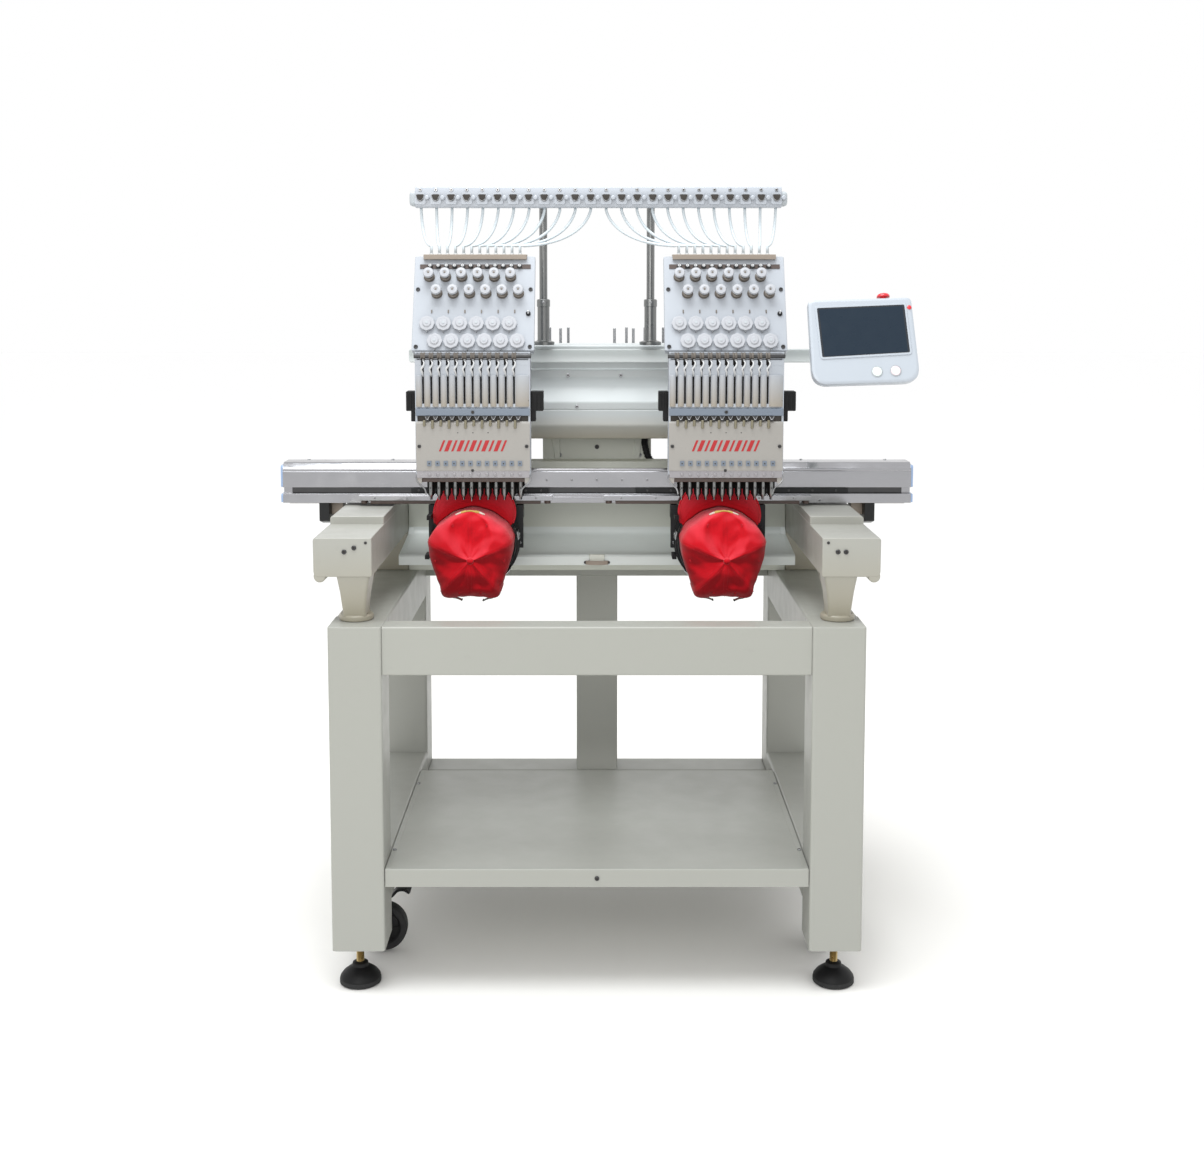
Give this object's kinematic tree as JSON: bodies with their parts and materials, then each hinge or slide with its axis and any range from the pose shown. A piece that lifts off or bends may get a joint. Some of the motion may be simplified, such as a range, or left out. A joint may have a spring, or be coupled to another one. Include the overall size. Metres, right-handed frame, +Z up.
{
  "type": "embroidery machine",
  "caption": "Floor-standing multi-head embroidery machine with cap drivers, thread stand and control panel on a welded stand with levelling feet and casters",
  "frame": {"origin": "middle of the machine's footprint, on the floor", "axes": "+Z up, +X to the operator's right, -Y towards the operator"},
  "size_m": [1.31, 0.82, 1.535],
  "materials": {
    "cream_paint": "satin powder coat",
    "white_paint": "satin powder coat",
    "white_plastic": "moulded",
    "aluminium": "anodised, fine brushed",
    "steel": "zinc plated",
    "chrome": "polished",
    "black_metal": "satin black",
    "black_plastic": "moulded",
    "rubber": "matte",
    "tube_nylon": "translucent",
    "cap_fabric": "cotton twill",
    "red_plastic": "moulded"
  },
  "bodies": {
    "root": {"side_frame_left": "cream_paint", "side_frame_right": "cream_paint", "stand_front_rail": "cream_paint", "lower_shelf": "cream_paint", "rear_cross_frame": "cream_paint", "machine_base": "cream_paint", "arm_left": "cream_paint", "arm_right": "cream_paint", "center_column": "cream_paint", "upper_beam": "white_paint", "cable_conduit": "black_plastic", "thread_post_left": "steel", "thread_post_right": "steel", "thread_rail": "white_paint", "spool_tray": "white_paint", "main_motor": "black_metal", "drive_belt": "rubber", "hook_arm_left": "cream_paint", "hook_arm_right": "cream_paint", "head_left": "white_paint", "head_right": "white_paint", "panel_arm": "white_paint"},
    "levelling_foot_front_left": {"levelling_foot_front_left": "black_plastic"},
    "caster_fork_front_left": {"caster_fork_front_left": "steel"},
    "caster_wheel_front_left": {"caster_wheel_front_left": "rubber"},
    "levelling_foot_front_right": {"levelling_foot_front_right": "black_plastic"},
    "caster_fork_front_right": {"caster_fork_front_right": "steel"},
    "caster_wheel_front_right": {"caster_wheel_front_right": "rubber"},
    "levelling_foot_rear_left": {"levelling_foot_rear_left": "black_plastic"},
    "caster_fork_rear_left": {"caster_fork_rear_left": "steel"},
    "caster_wheel_rear_left": {"caster_wheel_rear_left": "rubber"},
    "levelling_foot_rear_right": {"levelling_foot_rear_right": "black_plastic"},
    "caster_fork_rear_right": {"caster_fork_rear_right": "steel"},
    "caster_wheel_rear_right": {"caster_wheel_rear_right": "rubber"},
    "upper_shaft": {"upper_shaft": "steel"},
    "lower_shaft": {"lower_shaft": "steel"},
    "rotary_hook_left": {"rotary_hook_left": "steel"},
    "rotary_hook_right": {"rotary_hook_right": "steel"},
    "needle_case_left": {"needle_case_left": "white_paint", "tension_panel_left": "white_paint", "thread_tubes_left": "tube_nylon", "needle_bank_left": "chrome"},
    "needle_case_right": {"needle_case_right": "white_paint", "tension_panel_right": "white_paint", "thread_tubes_right": "tube_nylon", "needle_bank_right": "chrome"},
    "needle_bar_left": {"needle_bar_left": "chrome"},
    "take_up_lever_left": {"take_up_lever_left": "steel"},
    "needle_bar_right": {"needle_bar_right": "chrome"},
    "take_up_lever_right": {"take_up_lever_right": "steel"},
    "pantograph_beam": {"x_beam": "aluminium"},
    "x_carriage": {"x_carriage": "aluminium"},
    "cap_driver_left": {"cap_driver_left": "black_metal", "cap_left": "cap_fabric"},
    "cap_driver_right": {"cap_driver_right": "black_metal", "cap_right": "cap_fabric"},
    "control_panel": {"panel_housing": "white_plastic"},
    "start_button": {"start_button": "white_plastic"},
    "stop_button": {"stop_button": "white_plastic"},
    "estop_button": {"estop_button": "red_plastic"}
  },
  "joints": [
    {"name": "levelling_foot_front_left_turn", "type": "hinge", "parent": "root", "child": "levelling_foot_front_left", "pos_m": [-0.455, -0.36, 0], "axis": [0, 0, 1], "continuous": true},
    {"name": "caster_front_left_swivel", "type": "hinge", "parent": "root", "child": "caster_fork_front_left", "pos_m": [-0.455, -0.225, 0.145], "axis": [0, 0, 1], "continuous": true},
    {"name": "caster_front_left_roll", "type": "hinge", "parent": "caster_fork_front_left", "child": "caster_wheel_front_left", "pos_m": [-0.429, -0.225, 0.052], "axis": [0, 1, 0], "continuous": true},
    {"name": "levelling_foot_front_right_turn", "type": "hinge", "parent": "root", "child": "levelling_foot_front_right", "pos_m": [0.455, -0.36, 0], "axis": [0, 0, 1], "continuous": true},
    {"name": "caster_front_right_swivel", "type": "hinge", "parent": "root", "child": "caster_fork_front_right", "pos_m": [0.455, -0.225, 0.145], "axis": [0, 0, 1], "continuous": true},
    {"name": "caster_front_right_roll", "type": "hinge", "parent": "caster_fork_front_right", "child": "caster_wheel_front_right", "pos_m": [0.455, -0.199, 0.052], "axis": [1, 0, 0], "continuous": true},
    {"name": "levelling_foot_rear_left_turn", "type": "hinge", "parent": "root", "child": "levelling_foot_rear_left", "pos_m": [-0.455, 0.36, 0], "axis": [0, 0, 1], "continuous": true},
    {"name": "caster_rear_left_swivel", "type": "hinge", "parent": "root", "child": "caster_fork_rear_left", "pos_m": [-0.455, 0.225, 0.145], "axis": [0, 0, 1], "continuous": true},
    {"name": "caster_rear_left_roll", "type": "hinge", "parent": "caster_fork_rear_left", "child": "caster_wheel_rear_left", "pos_m": [-0.429, 0.225, 0.052], "axis": [0, 1, 0], "continuous": true},
    {"name": "levelling_foot_rear_right_turn", "type": "hinge", "parent": "root", "child": "levelling_foot_rear_right", "pos_m": [0.455, 0.36, 0], "axis": [0, 0, 1], "continuous": true},
    {"name": "caster_rear_right_swivel", "type": "hinge", "parent": "root", "child": "caster_fork_rear_right", "pos_m": [0.455, 0.225, 0.145], "axis": [0, 0, 1], "continuous": true},
    {"name": "caster_rear_right_roll", "type": "hinge", "parent": "caster_fork_rear_right", "child": "caster_wheel_rear_right", "pos_m": [0.455, 0.251, 0.052], "axis": [1, 0, 0], "continuous": true},
    {"name": "upper_shaft_turn", "type": "hinge", "parent": "root", "child": "upper_shaft", "pos_m": [0, 0.19, 1.12], "axis": [1, 0, 0], "continuous": true},
    {"name": "lower_shaft_turn", "type": "hinge", "parent": "root", "child": "lower_shaft", "pos_m": [0, 0.205, 0.835], "axis": [1, 0, 0], "continuous": true},
    {"name": "rotary_hook_left_turn", "type": "hinge", "parent": "root", "child": "rotary_hook_left", "pos_m": [-0.25, -0.175, 0.835], "axis": [0, 1, 0], "continuous": true},
    {"name": "rotary_hook_right_turn", "type": "hinge", "parent": "root", "child": "rotary_hook_right", "pos_m": [0.25, -0.175, 0.835], "axis": [0, 1, 0], "continuous": true},
    {"name": "needle_case_left_slide", "type": "slide", "parent": "root", "child": "needle_case_left", "axis": [1, 0, 0], "range_m": [-0.0978, 0.0815], "deforming": ["thread_tubes_left"]},
    {"name": "needle_case_right_slide", "type": "slide", "parent": "root", "child": "needle_case_right", "axis": [1, 0, 0], "range_m": [-0.0978, 0.0815], "deforming": ["thread_tubes_right"]},
    {"name": "needle_bar_left_stroke", "type": "slide", "parent": "needle_case_left", "child": "needle_bar_left", "axis": [0, 0, 1], "range_m": [-0.024, 0], "deforming": ["cap_left"]},
    {"name": "take_up_lever_left_swing", "type": "hinge", "parent": "needle_case_left", "child": "take_up_lever_left", "pos_m": [-0.25, -0.18, 1.16], "axis": [1, 0, 0], "range_deg": [0, 35]},
    {"name": "needle_bar_right_stroke", "type": "slide", "parent": "needle_case_right", "child": "needle_bar_right", "axis": [0, 0, 1], "range_m": [-0.024, 0], "deforming": ["cap_right"]},
    {"name": "take_up_lever_right_swing", "type": "hinge", "parent": "needle_case_right", "child": "take_up_lever_right", "pos_m": [0.25, -0.18, 1.16], "axis": [1, 0, 0], "range_deg": [0, 35]},
    {"name": "pantograph_depth_slide", "type": "slide", "parent": "root", "child": "pantograph_beam", "axis": [0, 1, 0], "range_m": [-0.035, 0.02]},
    {"name": "x_carriage_slide", "type": "slide", "parent": "pantograph_beam", "child": "x_carriage", "axis": [1, 0, 0], "range_m": [-0.15, 0.15]},
    {"name": "cap_driver_left_turn", "type": "hinge", "parent": "pantograph_beam", "child": "cap_driver_left", "pos_m": [-0.25, -0.1245, 0.812], "axis": [0, 1, 0], "range_deg": [-98, 98]},
    {"name": "cap_driver_right_turn", "type": "hinge", "parent": "pantograph_beam", "child": "cap_driver_right", "pos_m": [0.25, -0.1245, 0.812], "axis": [0, 1, 0], "range_deg": [-98, 98]},
    {"name": "control_panel_tilt", "type": "hinge", "parent": "root", "child": "control_panel", "pos_m": [0.5, -0.26, 1.19], "axis": [1, 0, 0], "range_deg": [-25, 20]},
    {"name": "start_button_press", "type": "slide", "parent": "control_panel", "child": "start_button", "axis": [-0.0177, 0.9396, -0.3419], "range_m": [0, 0.0015], "stiffness_N_per_m": 600},
    {"name": "stop_button_press", "type": "slide", "parent": "control_panel", "child": "stop_button", "axis": [-0.0177, 0.9396, -0.3419], "range_m": [0, 0.0015], "stiffness_N_per_m": 600},
    {"name": "estop_button_press", "type": "slide", "parent": "control_panel", "child": "estop_button", "axis": [0.038, -0.341, -0.9393], "range_m": [0, 0.002]}
  ],
  "couplings": [
    {"joint": "lower_shaft_turn", "follows": "upper_shaft_turn", "ratio": 1},
    {"joint": "rotary_hook_left_turn", "follows": "upper_shaft_turn", "ratio": 2},
    {"joint": "rotary_hook_right_turn", "follows": "upper_shaft_turn", "ratio": 2},
    {"joint": "needle_case_right_slide", "follows": "needle_case_left_slide", "ratio": 1},
    {"joint": "needle_bar_right_stroke", "follows": "needle_bar_left_stroke", "ratio": 1},
    {"joint": "take_up_lever_left_swing", "follows": "needle_bar_left_stroke", "rad_per_m": -25},
    {"joint": "take_up_lever_right_swing", "follows": "needle_bar_left_stroke", "rad_per_m": -25},
    {"joint": "cap_driver_left_turn", "follows": "x_carriage_slide", "rad_per_m": 11.36},
    {"joint": "cap_driver_right_turn", "follows": "x_carriage_slide", "rad_per_m": 11.36}
  ]
}
